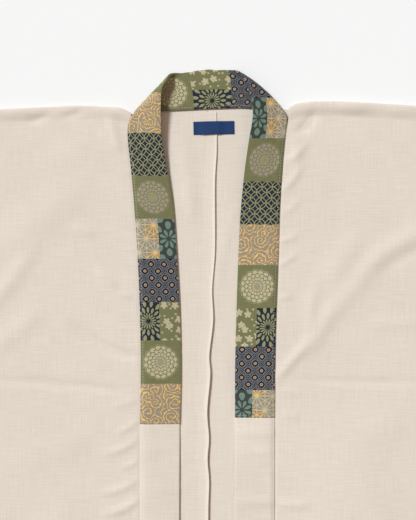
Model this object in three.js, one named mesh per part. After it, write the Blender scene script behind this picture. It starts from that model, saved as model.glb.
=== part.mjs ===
// A noragi jacket laid flat on its back, fronts a little open, at its real size.
// Millimetres. X runs to the wearer's left, Y from hem to collar, Z up from the surface it
// lies on. Left and right are the wearer's. Y is 0 on the shoulder line until the last
// lines, which put the origin under the middle of the whole jacket.

import * as THREE from "three";

// Driving dimensions
const BODY_LENGTH = 760; // shoulder to hem
const BODY_WIDTH = 600; // armhole to armhole
const SLEEVE_LENGTH = 390; // armhole to cuff
const ARMHOLE_DEPTH = 260;
const CUFF_DEPTH = 220;
const CUFF_DROP = 12; // how far a sleeve's top falls from armhole to cuff
const CLOTH = 1.2; // wall of one layer of cloth
const BAND_WALL = 2; // plain front band: a strip folded over the front's raw edge
const COLLAR_WALL = 3; // the band and its patchwork cover together
const SEAM_GAP = 0.3; // between pieces that touch
const ALLOWANCE = 9; // of a front, inside its band
const AIR = 0.6; // loft between front and back, away from their seams
const LEAST_DRAPE = -0.5; // how deep a trough may press into that loft

const BACK_Z = CLOTH / 2; // middle of the back's wall
const BACK_TOP = CLOTH;
const FRONT_Z = BACK_TOP + SEAM_GAP + CLOTH / 2;
const HALF = BODY_WIDTH / 2;

const CLOTH_COLOUR = "#dccfbd";
const PRINT_COLOUR = "#6b7050";
const LABEL_COLOUR = "#22406c";

// Small maths shared by every piece
const { lerp, clamp, smoothstep, degToRad } = THREE.MathUtils;
const range = (count) => Array.from({ length: count + 1 }, (_, i) => i / count);

// Reads column `key` of a table whose rows are sorted by `by`.
function readAt(rows, by, at, key) {
  const last = rows.length - 1;
  if (at <= rows[0][by]) return rows[0][key];
  if (at >= rows[last][by]) return rows[last][key];
  const i = rows.findIndex((row) => row[by] > at) - 1;
  const share = (at - rows[i][by]) / (rows[i + 1][by] - rows[i][by]);
  return lerp(rows[i][key], rows[i + 1][key], share);
}

// The two halves. Each shoulder row is a point of the shoulder's fold. Each leg row is a section
// of the collar from the cover's end up to the neck: its sewn edge, its free edge and how
// far the free edge stands up. The roll is where the collar turns over beside the neck:
// its outline's two corners, its radius at each, and how far it slides along the fold.
// Each fold row is a soft ridge, or a trough where its height is negative, from one point
// to another, bowed sideways by `bow`.
const RIGHT = {
  name: "right",
  sign: -1,
  neckX: -99.5,
  hemSeam: -88,
  hemFree: -38,
  shoulder: [
    { x: -HALF, y: -4.5 },
    { x: -220, y: -1 },
    { x: -162, y: 1.3 },
    { x: -114, y: -1.3 },
    { x: -99.5, y: -8.5 },
  ],
  leg: [
    { seamX: -88.1, seamY: -411.3, freeX: -36.8, freeY: -411.3, stand: 0 },
    { seamX: -87.1, seamY: -348, freeX: -35.4, freeY: -348, stand: 0 },
    { seamX: -87.9, seamY: -277, freeX: -36.4, freeY: -277, stand: 0 },
    { seamX: -91, seamY: -199, freeX: -40.3, freeY: -199, stand: 1 },
    { seamX: -95.8, seamY: -127, freeX: -45.6, freeY: -127, stand: 3.5 },
    { seamX: -100.4, seamY: -75, freeX: -54.4, freeY: -75, stand: 8 },
    { seamX: -103.7, seamY: -43, freeX: -60.3, freeY: -36, stand: 12 },
    { seamX: -103.6, seamY: -25, freeX: -60.8, freeY: -4, stand: 15 },
    { seamX: -100.5, seamY: -16.5, freeX: -59, freeY: 20, stand: 17 },
  ],
  roll: {
    seamX: -98, seamY: -9.1, freeX: -50.2, freeY: 42.5,
    seamRadius: 2.4, freeRadius: 9, slide: 0.95, bow: 0,
  },
  folds: [
    { fromX: -262, fromY: -235, toX: -222, toY: -120, bow: 6, width: 26, height: 2 },
    { fromX: -285, fromY: -275, toX: -232, toY: -200, bow: 4, width: 16, height: -0.9 },
    { fromX: -250, fromY: -28, toX: -180, toY: -14, bow: 3, width: 12, height: -0.9 },
    { fromX: -178, fromY: -252, toX: -92, toY: -286, bow: -10, width: 16, height: 1.6 },
    { fromX: -285, fromY: -350, toX: -92, toY: -364, bow: -3, width: 12, height: 0.8 },
    { fromX: -170, fromY: -560, toX: -92, toY: -510, bow: -8, width: 18, height: 1.9 },
    { fromX: -265, fromY: -640, toX: -180, toY: -470, bow: 12, width: 26, height: 1.5 },
  ],
  sleeveFolds: [
    { fromX: -330, fromY: -215, toX: -460, toY: -60, bow: 12, width: 26, height: 2 },
    { fromX: -450, fromY: -205, toX: -580, toY: -80, bow: -10, width: 20, height: 1.7 },
    { fromX: -560, fromY: -190, toX: -660, toY: -130, bow: 6, width: 18, height: 1.4 },
  ],
};
const LEFT = {
  name: "left",
  sign: 1,
  neckX: 104.6,
  hemSeam: 86,
  hemFree: 33,
  shoulder: [
    { x: 104.6, y: -0.5 },
    { x: 112, y: 3 },
    { x: 130, y: 6 },
    { x: 152, y: 6.9 },
    { x: 200, y: 5.2 },
    { x: 270, y: 1.3 },
    { x: HALF, y: 0 },
  ],
  leg: [
    { seamX: 86.3, seamY: -403, freeX: 35.2, freeY: -403, stand: 0 },
    { seamX: 86.6, seamY: -345, freeX: 35.2, freeY: -345, stand: 0 },
    { seamX: 88.1, seamY: -277, freeX: 36.7, freeY: -277, stand: 0 },
    { seamX: 91.2, seamY: -192, freeX: 39.5, freeY: -192, stand: 1 },
    { seamX: 92.8, seamY: -135, freeX: 42.4, freeY: -135, stand: 3.5 },
    { seamX: 96.1, seamY: -81, freeX: 47.6, freeY: -81, stand: 7.5 },
    { seamX: 99.3, seamY: -50, freeX: 52.6, freeY: -46, stand: 10.5 },
    { seamX: 102.4, seamY: -28, freeX: 57.8, freeY: -10, stand: 13.5 },
    { seamX: 104.4, seamY: -18.5, freeX: 53, freeY: 16, stand: 15.5 },
  ],
  roll: {
    seamX: 103.7, seamY: -11.7, freeX: 41.6, freeY: 43.6,
    seamRadius: 2.4, freeRadius: 8, slide: 1.25, bow: 7.8,
  },
  folds: [
    { fromX: 286, fromY: -176, toX: 205, toY: -222, bow: 5, width: 15, height: -0.9 },
    { fromX: 214, fromY: -212, toX: 140, toY: -300, bow: 4, width: 15, height: -1 },
    { fromX: 196, fromY: -196, toX: 124, toY: -282, bow: 4, width: 20, height: 2.1 },
    { fromX: 236, fromY: -244, toX: 156, toY: -336, bow: 6, width: 24, height: 2 },
    { fromX: 120, fromY: -12, toX: 285, toY: -16, bow: 5, width: 9, height: -0.9 },
    { fromX: 100, fromY: -350, toX: 285, toY: -362, bow: 3, width: 12, height: 0.8 },
    { fromX: 92, fromY: -430, toX: 160, toY: -470, bow: 6, width: 18, height: 1.3 },
    { fromX: 180, fromY: -480, toX: 262, toY: -640, bow: -12, width: 26, height: 1.6 },
  ],
  sleeveFolds: [
    { fromX: 330, fromY: -225, toX: 455, toY: -70, bow: -10, width: 24, height: 2 },
    { fromX: 440, fromY: -210, toX: 575, toY: -90, bow: 12, width: 22, height: 1.6 },
    { fromX: 555, fromY: -195, toX: 655, toY: -120, bow: -6, width: 18, height: 1.5 },
  ],
};

// Sections of the collar across the back of the neck, from the wearer's right to left.
const BACK_NECK = [
  { seamX: -62, seamY: -6.2, freeX: -24, freeY: 45.6 },
  { seamX: -25, seamY: -4.2, freeX: -9, freeY: 47.6 },
  { seamX: 12, seamY: -2.6, freeX: 2, freeY: 47.8 },
  { seamX: 56, seamY: -2.4, freeX: 12, freeY: 47.4 },
];

// The back's cut neckline, which lies under the collar.
const NECKLINE = [
  { x: RIGHT.neckX, y: -8.5 },
  { x: -62, y: -0.5 },
  { x: 12, y: 3 },
  { x: 56, y: 3 },
  { x: LEFT.neckX, y: -0.5 },
];

// The loose edge of the centre-back seam's allowance.
const SEAM_EDGE = [
  { y: -BODY_LENGTH, x: 4, lift: 0.3 },
  { y: -560, x: 2, lift: 0.4 },
  { y: -430, x: 2.2, lift: 0.6 },
  { y: -397, x: 0.8, lift: 0.7 },
  { y: -345, x: 4.5, lift: 0.9 },
  { y: -325, x: 2.7, lift: 0.6 },
  { y: -277, x: 8, lift: 0.8 },
  { y: -238, x: 6.8, lift: 0.5 },
  { y: -190, x: 10.3, lift: 0.7 },
  { y: -95, x: 10.6, lift: 0.4 },
  { y: -56, x: 13, lift: 0.2 },
  { y: -7, x: 9.8, lift: 0 },
];

// Height of one fold row at a point: a soft ridge that dies away at both ends.
function foldHeight(fold, x, y) {
  const runX = fold.toX - fold.fromX;
  const runY = fold.toY - fold.fromY;
  const run = Math.hypot(runX, runY);
  const along = ((x - fold.fromX) * runX + (y - fold.fromY) * runY) / run ** 2;
  const aside = ((x - fold.fromX) * runY - (y - fold.fromY) * runX) / run;
  const inside = clamp(along, 0, 1);
  const bowed = aside - fold.bow * 4 * inside * (1 - inside);
  const past = (along - inside) * run;
  const ends = smoothstep(along, -0.1, 0.35) * (1 - smoothstep(along, 0.65, 1.1));
  return fold.height * ends * Math.exp(-((bowed ** 2 + past ** 2) / fold.width ** 2));
}

// Middle of the front's wall, or of a sleeve's upper wall. It comes down to the back at
// the side seams, and never closer than the least drape.
function frontZ(side, x, y) {
  const out = Math.abs(x);
  const onSleeve = out > HALF;
  const underarm = onSleeve ? y + sleeveDepthAt(out) : HALF - out;
  const closed = onSleeve ? 1 : smoothstep(-y, ARMHOLE_DEPTH - 40, ARMHOLE_DEPTH);
  const open = 1 - closed * (1 - smoothstep(underarm, 0, 30));
  const folds = onSleeve ? side.sleeveFolds : side.folds;
  const drape = folds.reduce((sum, fold) => sum + foldHeight(fold, x, y), 0);
  return FRONT_Z + open * (AIR + Math.max(drape, LEAST_DRAPE));
}

function sleeveDepthAt(out) {
  const share = (out - HALF) / SLEEVE_LENGTH;
  return lerp(ARMHOLE_DEPTH, CUFF_DEPTH + CUFF_DROP, share);
}

// A closed cloth wall about a grid of mid-surface points. `has(i, j)` says which cells the
// cloth covers. Both faces are offset by half the wall, and every open edge gets a rim.
function clothWall(grid, wall, has = () => true) {
  const rows = grid.length - 1;
  const columns = grid[0].length - 1;
  const covers = (i, j) => i >= 0 && j >= 0 && i < rows && j < columns && has(i, j);
  const normals = grid.map((row) => row.map(() => new THREE.Vector3()));
  const cells = [];
  for (let i = 0; i < rows; i++) {
    for (let j = 0; j < columns; j++) {
      if (!covers(i, j)) continue;
      const corners = [[i, j], [i + 1, j], [i + 1, j + 1], [i, j + 1]];
      const [a, b, c, d] = corners.map(([row, column]) => grid[row][column]);
      const normal = c.clone().sub(a).cross(d.clone().sub(b)).normalize();
      corners.forEach(([row, column]) => normals[row][column].add(normal));
      const open = [covers(i, j - 1), covers(i + 1, j), covers(i, j + 1), covers(i - 1, j)];
      cells.push({ corners, open: open.map((neighbour) => !neighbour) });
    }
  }
  const positions = [];
  const place = new Map();
  const vertex = ([row, column], face) => {
    const key = (row * (columns + 1) + column) * 2 + (face > 0 ? 1 : 0);
    if (!place.has(key)) {
      const normal = normals[row][column].clone().normalize();
      const point = grid[row][column].clone().addScaledVector(normal, (face * wall) / 2);
      place.set(key, positions.length / 3);
      positions.push(point.x, point.y, point.z);
    }
    return place.get(key);
  };
  const index = [];
  for (const { corners, open } of cells) {
    const [a, b, c, d] = corners.map((corner) => vertex(corner, 1));
    const [e, f, g, h] = corners.map((corner) => vertex(corner, -1));
    index.push(a, b, c, a, c, d, e, g, f, e, h, g);
    const upper = [a, b, c, d];
    const lower = [e, f, g, h];
    open.forEach((isOpen, k) => {
      if (!isOpen) return;
      const next = (k + 1) % 4;
      index.push(upper[next], upper[k], lower[k], upper[next], lower[k], lower[next]);
    });
  }
  const geometry = new THREE.BufferGeometry();
  geometry.setAttribute("position", new THREE.Float32BufferAttribute(positions, 3));
  geometry.setIndex(index);
  geometry.computeVertexNormals();
  return geometry;
}

function piece(name, geometry, colour, roughness) {
  const material = new THREE.MeshStandardMaterial({ color: colour, roughness, metalness: 0 });
  const mesh = new THREE.Mesh(geometry, material);
  mesh.name = name;
  return mesh;
}

// A length of cloth folded at the top: up the front, round the fold and down the back.
// Each column gives its x at a height on the front, its x on the back, its top and bottom.
const FRONT_ROWS = 30;
const BACK_ROWS = 7;
const FOLD_STEPS = 4;
const CROWDING = 1.4; // rows lie closer together towards the fold
function foldedGrid(side, columns) {
  const grid = [];
  const rollRadius = (column) => (frontZ(side, column.backX, column.top) - BACK_Z) / 2;
  for (const share of range(FRONT_ROWS)) {
    const rise = 1 - (1 - share) ** CROWDING;
    grid.push(columns.map((column) => {
      const highest = column.top - rollRadius(column) - CLOTH / 2;
      const y = lerp(column.bottom, highest, rise);
      const x = column.frontX(y);
      return new THREE.Vector3(x, y, frontZ(side, x, y));
    }));
  }
  for (const share of range(FOLD_STEPS).slice(1)) {
    const turn = share * Math.PI;
    grid.push(columns.map((column) => {
      const radius = rollRadius(column);
      const y = column.top - radius - CLOTH / 2 + radius * Math.sin(turn);
      return new THREE.Vector3(column.backX, y, BACK_Z + radius * (1 + Math.cos(turn)));
    }));
  }
  for (const share of range(BACK_ROWS).slice(1)) {
    grid.push(columns.map((column) => {
      const highest = column.top - rollRadius(column) - CLOTH / 2;
      const y = lerp(highest, column.bottom, share);
      return new THREE.Vector3(column.backX, y, BACK_Z);
    }));
  }
  return grid;
}

// Body: one length of cloth for each half, with no front inside the neck and the opening.
const NECK_COLUMNS = 4;
const BODY_COLUMNS = 18;
const NECK_CORNER = 14; // below the shoulder, where the front's edge moves under the collar
function frontEdgeX(side, y) {
  const leg = side.leg;
  const top = leg[leg.length - 3];
  const seam = y < leg[0].seamY ? bandX(side, y, 0) : readAt(leg, "seamY", Math.min(y, top.seamY), "seamX");
  const tucked = seam - side.sign * ALLOWANCE;
  return lerp(side.neckX, tucked, smoothstep(-y, NECK_CORNER, NECK_CORNER + 26));
}

function body(side) {
  const sideX = side.sign * (HALF - SEAM_GAP / 2);
  const columns = range(BODY_COLUMNS).map((share, j) => {
    const outer = (j - NECK_COLUMNS) / (BODY_COLUMNS - NECK_COLUMNS);
    const inNeck = outer < 0;
    const middle = (side.sign * SEAM_GAP) / 2;
    const backX = inNeck
      ? lerp(middle, side.neckX, j / NECK_COLUMNS)
      : lerp(side.neckX, sideX, outer);
    const top = inNeck ? readAt(NECKLINE, "x", backX, "y") : readAt(side.shoulder, "x", backX, "y");
    return {
      backX,
      top,
      bottom: -BODY_LENGTH,
      frontX: (y) => (inNeck ? backX : lerp(frontEdgeX(side, y), sideX, outer)),
    };
  });
  const firstBackRow = FRONT_ROWS + FOLD_STEPS;
  const has = (i, j) => j >= NECK_COLUMNS || i >= firstBackRow;
  return piece("body_" + side.name, clothWall(foldedGrid(side, columns), CLOTH, has), CLOTH_COLOUR, 0.9);
}

// Sleeve: one straight piece folded at the top and closed along the underside.
const SLEEVE_COLUMNS = 12;
function sleeve(side) {
  const shoulderEnd = readAt(side.shoulder, "x", side.sign * HALF, "y");
  const columns = range(SLEEVE_COLUMNS).map((share) => {
    const x = side.sign * (HALF + SEAM_GAP / 2 + share * (SLEEVE_LENGTH - SEAM_GAP / 2));
    const top = shoulderEnd - share * CUFF_DROP;
    return { backX: x, frontX: () => x, top, bottom: -sleeveDepthAt(Math.abs(x)) };
  });
  return piece("sleeve_" + side.name, clothWall(foldedGrid(side, columns), CLOTH), CLOTH_COLOUR, 0.9);
}

// How far down the strip has come at `v` across it: level on the front's allowance, then
// sloping to what its free edge lies on.
const LEVEL = 0.24;
const fall = (v) => Math.max(0, (v - LEVEL) / (1 - LEVEL));

// Height of a strip's sewn edge on the front it is sewn to, and of its free edge on the back.
function lyingZ(side, x, y, wall) {
  const inner = x - side.sign * ALLOWANCE;
  const front = Math.max(frontZ(side, x, y), frontZ(side, inner, y));
  return {
    seam: front + CLOTH / 2 + SEAM_GAP + wall / 2,
    free: BACK_TOP + SEAM_GAP + wall / 2,
  };
}

// Plain band: from the end of the cover down to the hem, v = 0 at its seam.
const BAND_ROWS = 16;
const ACROSS = 6;
function bandX(side, y, v) {
  const start = side.leg[0];
  const share = clamp((start.seamY - y) / (start.seamY + BODY_LENGTH), 0, 1);
  const seam = lerp(start.seamX, side.hemSeam, share);
  const free = lerp(start.freeX, side.hemFree, share);
  return lerp(seam, free, v);
}

function band(side) {
  const top = side.leg[0].seamY - SEAM_GAP;
  const grid = range(BAND_ROWS).map((share) => {
    const y = lerp(-BODY_LENGTH, top, share);
    const lying = lyingZ(side, bandX(side, y, 0), y, BAND_WALL);
    return range(ACROSS).map((v) => {
      const z = lerp(lying.seam, lying.free, fall(v));
      return new THREE.Vector3(bandX(side, y, v), y, z);
    });
  });
  return piece("band_" + side.name, clothWall(grid, BAND_WALL), CLOTH_COLOUR, 0.9);
}

// Collar cover: each section is a function from v, 0 at the sewn edge and 1 at the free
// edge, to a point. A smooth curve through the sections carries every v along the strip.
const BULGE = 0.16; // crown across the strip where it stands
const NECK_SEAM_Z = BACK_TOP + SEAM_GAP + COLLAR_WALL / 2 + 0.3;
const NECK_FREE_Z = NECK_SEAM_Z - 1.2;
const ROLL_TURNS = [45, 90, 135, 180];
const COLLAR_COLUMNS = 8;
const STEPS_A_SECTION = 3;

const neckZ = (v) => lerp(NECK_SEAM_Z, NECK_FREE_Z, fall(v));

function legSection(side, row) {
  const lying = lyingZ(side, row.seamX, row.seamY, COLLAR_WALL);
  const nearNeck = clamp(row.stand / side.leg[side.leg.length - 1].stand, 0, 1) ** 2;
  const rollTop = NECK_SEAM_Z + 2 * side.roll.seamRadius;
  const seamZ = lerp(lying.seam, Math.max(lying.seam, rollTop - 0.6), nearNeck);
  return (v) => new THREE.Vector3(
    lerp(row.seamX, row.freeX, v),
    lerp(row.seamY, row.freeY, v),
    lerp(seamZ, lying.free + row.stand, fall(v)) + row.stand * BULGE * 4 * v * (1 - v),
  );
}

function rollSection(side, degrees) {
  const { seamX, seamY, freeX, freeY, seamRadius, freeRadius, slide, bow } = side.roll;
  const turn = degToRad(degrees);
  const along = new THREE.Vector3(freeX - seamX, freeY - seamY, 0).normalize();
  const outward = new THREE.Vector3(side.sign * along.y, -side.sign * along.x, 0);
  return (v) => {
    const radius = lerp(seamRadius, freeRadius, v);
    const slid = slide * radius * (turn - Math.PI / 2);
    const pushed = radius * (Math.sin(turn) - 1) - COLLAR_WALL / 2 + bow * 4 * v * (1 - v);
    return new THREE.Vector3(lerp(seamX, freeX, v), lerp(seamY, freeY, v), 0)
      .addScaledVector(along, slid)
      .addScaledVector(outward, pushed)
      .setZ(neckZ(v) + radius * (1 + Math.cos(turn)));
  };
}

function collarCover() {
  const up = (side) => [
    ...side.leg.map((row) => legSection(side, row)),
    ...ROLL_TURNS.map((degrees) => rollSection(side, degrees)),
  ];
  const acrossBack = BACK_NECK.map((row) => (v) => new THREE.Vector3(
    lerp(row.seamX, row.freeX, v),
    lerp(row.seamY, row.freeY, v),
    neckZ(v),
  ));
  const sections = [...up(RIGHT), ...acrossBack, ...up(LEFT).reverse()];
  const rails = range(COLLAR_COLUMNS).map((v) => {
    const points = sections.map((section) => section(v));
    return new THREE.CatmullRomCurve3(points, false, "centripetal");
  });
  const steps = (sections.length - 1) * STEPS_A_SECTION;
  const grid = range(steps).map((t) => rails.map((rail) => rail.getPoint(t)));
  return piece("collar_cover", clothWall(grid, COLLAR_WALL), PRINT_COLOUR, 0.85);
}

// Centre-back seam: both raw edges turned to the wearer's right and left loose.
const SEAM_ALLOWANCE_WIDTH = 14;
const SEAM_ROWS = 44;
const seamZ = BACK_TOP + SEAM_GAP + CLOTH / 2;
function backSeam() {
  const edge = new THREE.CatmullRomCurve3(
    SEAM_EDGE.map(({ x, y, lift }) => new THREE.Vector3(x, y, lift)),
    false,
    "centripetal",
  );
  const grid = range(SEAM_ROWS).map((t) => {
    const { x, y, z: lift } = edge.getPoint(t);
    return [0, 0.5, 1].map((v) => {
      const inset = (1 - v) * SEAM_ALLOWANCE_WIDTH;
      return new THREE.Vector3(x - inset, y, seamZ + lift * v ** 2);
    });
  });
  return piece("back_seam", clothWall(grid, CLOTH), CLOTH_COLOUR, 0.9);
}

// Label: laid over the back and the seam's allowance.
const LABEL = { width: 53, height: 17, x: 7.6, y: -27.5, tilt: 1.2, wall: 1 };
function label() {
  const flat = BACK_TOP + SEAM_GAP + LABEL.wall / 2;
  const overSeam = seamZ + CLOTH / 2 + SEAM_GAP + 0.3 + LABEL.wall / 2;
  const seam = readAt(SEAM_EDGE, "y", LABEL.y, "x");
  const tilt = degToRad(LABEL.tilt);
  const grid = range(3).map((v) => range(14).map((u) => {
    const x = (u - 0.5) * LABEL.width;
    const y = (v - 0.5) * LABEL.height;
    const fromSeam = LABEL.x + x - (seam - SEAM_ALLOWANCE_WIDTH / 2);
    const onSeam = 1 - smoothstep(Math.abs(fromSeam), 9.5, 15.5);
    return new THREE.Vector3(
      LABEL.x + x * Math.cos(tilt) - y * Math.sin(tilt),
      LABEL.y + x * Math.sin(tilt) + y * Math.cos(tilt),
      lerp(flat, overSeam, onSeam),
    );
  }));
  return piece("label", clothWall(grid, LABEL.wall), LABEL_COLOUR, 0.7);
}

// The jacket, with its origin under the middle of its box
const jacket = new THREE.Group();
for (const side of [RIGHT, LEFT]) jacket.add(body(side), sleeve(side), band(side));
jacket.add(collarCover(), backSeam(), label());
const middle = new THREE.Box3().setFromObject(jacket, true).getCenter(new THREE.Vector3());
jacket.position.set(-middle.x, -middle.y, 0);

const part = new THREE.Group();
part.add(jacket);
export default part;
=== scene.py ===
import math
from collections import namedtuple

import bpy
import numpy as np
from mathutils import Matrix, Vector


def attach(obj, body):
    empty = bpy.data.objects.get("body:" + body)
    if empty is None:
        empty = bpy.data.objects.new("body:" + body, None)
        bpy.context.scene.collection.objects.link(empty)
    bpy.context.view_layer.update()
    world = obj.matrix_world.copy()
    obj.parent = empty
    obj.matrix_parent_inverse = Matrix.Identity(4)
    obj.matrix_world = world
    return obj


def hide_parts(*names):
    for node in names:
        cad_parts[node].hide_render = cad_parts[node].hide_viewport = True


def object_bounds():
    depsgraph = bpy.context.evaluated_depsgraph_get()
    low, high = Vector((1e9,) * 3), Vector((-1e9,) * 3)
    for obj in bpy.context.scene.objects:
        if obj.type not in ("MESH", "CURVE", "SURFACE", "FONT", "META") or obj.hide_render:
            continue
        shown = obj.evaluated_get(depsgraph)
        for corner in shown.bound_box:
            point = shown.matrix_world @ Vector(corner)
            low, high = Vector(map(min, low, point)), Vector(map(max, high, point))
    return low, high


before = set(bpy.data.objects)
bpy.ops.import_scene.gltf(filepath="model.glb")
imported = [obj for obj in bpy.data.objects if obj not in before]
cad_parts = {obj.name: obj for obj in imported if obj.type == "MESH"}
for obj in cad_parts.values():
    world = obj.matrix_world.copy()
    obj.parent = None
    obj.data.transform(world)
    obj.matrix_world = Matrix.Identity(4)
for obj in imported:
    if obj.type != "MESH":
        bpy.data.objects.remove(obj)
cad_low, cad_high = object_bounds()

bpy.ops.object.select_all(action="DESELECT")

# Body. Each half is one length of slubby cotton that goes up the front, over the shoulder
# and down the back, so there is no shoulder seam. The fronts are cut away at the neck and
# lie a little apart. Sizes are in millimetres, with y 0 on the shoulder's fold.
MM = 0.001
BODY_LENGTH = 760
HALF_WIDTH = 300
SLEEVE_LENGTH = 390
ARMHOLE_DEPTH = 260
CUFF_DEPTH = 220
CUFF_DROP = 12
SHOULDER_Y = cad_low.y / MM + BODY_LENGTH
CLOTH_WALL = 1.1
LAYER_GAP = 0.3
ALLOWANCE = 9
LOFT = 1.4
BACK_Z = 0.66
BACK_TOP = BACK_Z + CLOTH_WALL / 2
FRONT_Z = 2.1
HEM = 12
FRONT_ROWS, BACK_ROWS, FOLD_STEPS = 300, 96, 8
NECK_COLUMNS, OUTER_COLUMNS, OUTER_SPREAD = 22, 54, 1.3
# Columns beside a front's edge, closest together where its band's sewn edge lies on it
EDGE_COLUMNS = np.array([0, 3, 6, 8.6, 9.1, 9.5, 9.9, 10.4, 11, 12, 14])
SIDE_SLOPE = 30
CLOSING = 40
LEAST_DRAPE = -1.3
BESIDE_REACH = 45
SHARP = math.radians(60)

Fold = namedtuple("Fold", "from_x from_y to_x to_y bow width height")
Point = namedtuple("Point", "x y")
Leg = namedtuple("Leg", "seam_x seam_y free_x free_y stand")
Roll = namedtuple("Roll", "seam_x seam_y free_x free_y seam_radius free_radius slide bow")
Side = namedtuple(
    "Side", "name sign neck_x hem_seam hem_free puff sag beside shoulder leg roll folds sleeve_folds"
)

RIGHT = Side(
    name="right", sign=-1, neck_x=-99.5, hem_seam=-88, hem_free=-38, puff=2.3, sag=12,
    beside=0.3,
    shoulder=[
        Point(-300, -4.5), Point(-220, -1), Point(-162, 1.4), Point(-140, 0.3), Point(-125, -0.6),
        Point(-112, -2.2), Point(-99.5, -8.5),
    ],
    leg=[
        Leg(-88.1, -411.3, -36.8, -411.3, 0), Leg(-87.1, -348, -35.4, -348, 0),
        Leg(-87.9, -277, -36.4, -277, 0), Leg(-91, -199, -40.3, -199, 0.3),
        Leg(-95.8, -127, -45.6, -127, 0.6), Leg(-100.4, -75, -54.4, -75, 4.4),
        Leg(-103.7, -43, -60.3, -36, 11), Leg(-103.6, -25, -60.8, -4, 15),
        Leg(-100.5, -16.5, -59, 20, 17),
    ],
    roll=Roll(-98, -9.1, -50.2, 41, 2.4, 9, 0.95, 0),
    folds=[
        Fold(-300, -275, -222, -178, 4, 11, 2.0), Fold(-290, -205, -150, -85, 4, 24, 1.7),
        Fold(-290, -320, -212, -260, 3, 12, 1.3), Fold(-128, -8, -112, -60, 2, 6, 1.5),
        Fold(-142, -32, -112, -58, 1, 5, 0.8), Fold(-236, -20, -204, -10, 1, 5, -1.2),
        Fold(-190, -14, -160, -4, 1, 5, -1.2), Fold(-180, -153, -144, -168, 1, 7, 1.4),
        Fold(-146, -208, -116, -237, 1, 6, 1.2), Fold(-116, -239, -97, -248, 0, 4, 0.8),
        Fold(-178, -280, -84, -326, 9, 6, -2.9), Fold(-300, -353, -88, -371, -2, 6, -1.3),
        Fold(-128, -389, -90, -378, 2, 4, 0.8), Fold(-120, -424, -90, -408, 1, 4, 1.2),
        Fold(-136, -451, -90, -431, 3, 4.5, 1.5), Fold(-116, -470, -90, -459, 1, 3.2, 1.0),
        Fold(-140, -502, -90, -483, 4, 4.5, 1.5), Fold(-136, -528, -88, -508, 4, 5, 2.0),
        Fold(-130, -560, -90, -545, 3, 5, 1.4), Fold(-126, -604, -88, -588, 2, 4, 1.3),
        Fold(-132, -646, -88, -632, 3, 5, 1.5), Fold(-265, -660, -180, -500, 12, 24, 2.0),
        Fold(-150, -720, -92, -680, -6, 12, 1.2), Fold(-240, -450, -150, -425, 6, 18, 0.8),
        Fold(-220, -70, -150, -45, 8, 20, 0.9),
    ],
    sleeve_folds=[
        Fold(-330, -215, -460, -60, 12, 22, 2.2), Fold(-450, -205, -580, -80, -10, 18, 1.9),
        Fold(-560, -190, -660, -130, 6, 16, 1.6), Fold(-340, -170, -430, -90, 8, 9, -0.9),
        Fold(-480, -150, -600, -40, 5, 12, 1.1),
    ],
)
LEFT = Side(
    name="left", sign=1, neck_x=104.6, hem_seam=86, hem_free=33, puff=3.5, sag=13.5,
    beside=0.4,
    shoulder=[
        Point(104.6, -0.5), Point(112, 3), Point(130, 6), Point(152, 6.9), Point(200, 5.2),
        Point(270, 1.3), Point(300, 0),
    ],
    leg=[
        Leg(86.3, -403, 35.2, -403, 0), Leg(86.6, -345, 35.2, -345, 0),
        Leg(88.1, -277, 36.7, -277, 0), Leg(91.2, -192, 39.5, -192, 1),
        Leg(92.8, -135, 42.4, -135, 3.5), Leg(96.1, -81, 47.6, -81, 7.5),
        Leg(98.6, -50, 52.6, -46, 10.5), Leg(100.6, -28, 57.8, -10, 13.5),
        Leg(102, -18.5, 54, 16, 15.5),
    ],
    roll=Roll(101.8, -11.7, 42.5, 43.6, 1.7, 8, 1.25, 5),
    folds=[
        Fold(300, -156, 192, -218, 7, 13, 2.2), Fold(226, -194, 146, -283, 0, 13, 1.7),
        Fold(164, -256, 118, -329, -3, 11, 1.8), Fold(134, -300, 86, -357, 0, 6.5, 1.9),
        Fold(300, -178, 220, -216, 5, 9, -1.0), Fold(200, -160, 150, -240, 2, 17, 1.8),
        Fold(140, -222, 131, -302, 1, 9, 1.3), Fold(112, -90, 113, -14, 2, 8, 1.1),
        Fold(108, -36, 140, -4, 6, 7, -1.9), Fold(94, -112, 122, -76, 2, 5, 1.2),
        Fold(98, -74, 130, -44, 3, 5, 1.1), Fold(96, -142, 120, -118, 1, 5, 0.7),
        Fold(92, -175, 117, -166, 1, 4, 0.9),
        Fold(90, -206, 116, -191, 1, 4, 1.0), Fold(90, -248, 110, -246, 0, 3.5, 0.9),
        Fold(96, -353, 300, -357, 2, 5, -0.9), Fold(96, -366, 120, -374, 1, 4, 0.9),
        Fold(96, -396, 118, -404, 1, 5, 0.9), Fold(88, -512, 134, -516, 2, 6, 1.6),
        Fold(96, -560, 130, -570, 2, 5, 1.1), Fold(205, -280, 290, -277, 3, 9, 0.9),
        Fold(174, -400, 188, -740, 4, 58, 4.6), Fold(190, -480, 270, -660, -12, 24, 1.6),
        Fold(170, -110, 250, -140, 8, 26, 0.9), Fold(180, -430, 250, -400, 6, 18, 0.8),
        Fold(92, -640, 128, -655, 2, 5, 1.2),
    ],
    sleeve_folds=[
        Fold(330, -225, 455, -70, -10, 20, 2.2), Fold(440, -210, 575, -90, 12, 18, 1.8),
        Fold(555, -195, 655, -120, -6, 16, 1.6), Fold(350, -180, 440, -100, 6, 9, -0.9),
        Fold(470, -140, 610, -50, 6, 12, 1.0),
    ],
)
NECKLINE = [
    Point(-99.5, -8.5), Point(-62, -0.5), Point(12, 3), Point(56, 3), Point(104.6, -0.5),
]
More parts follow.
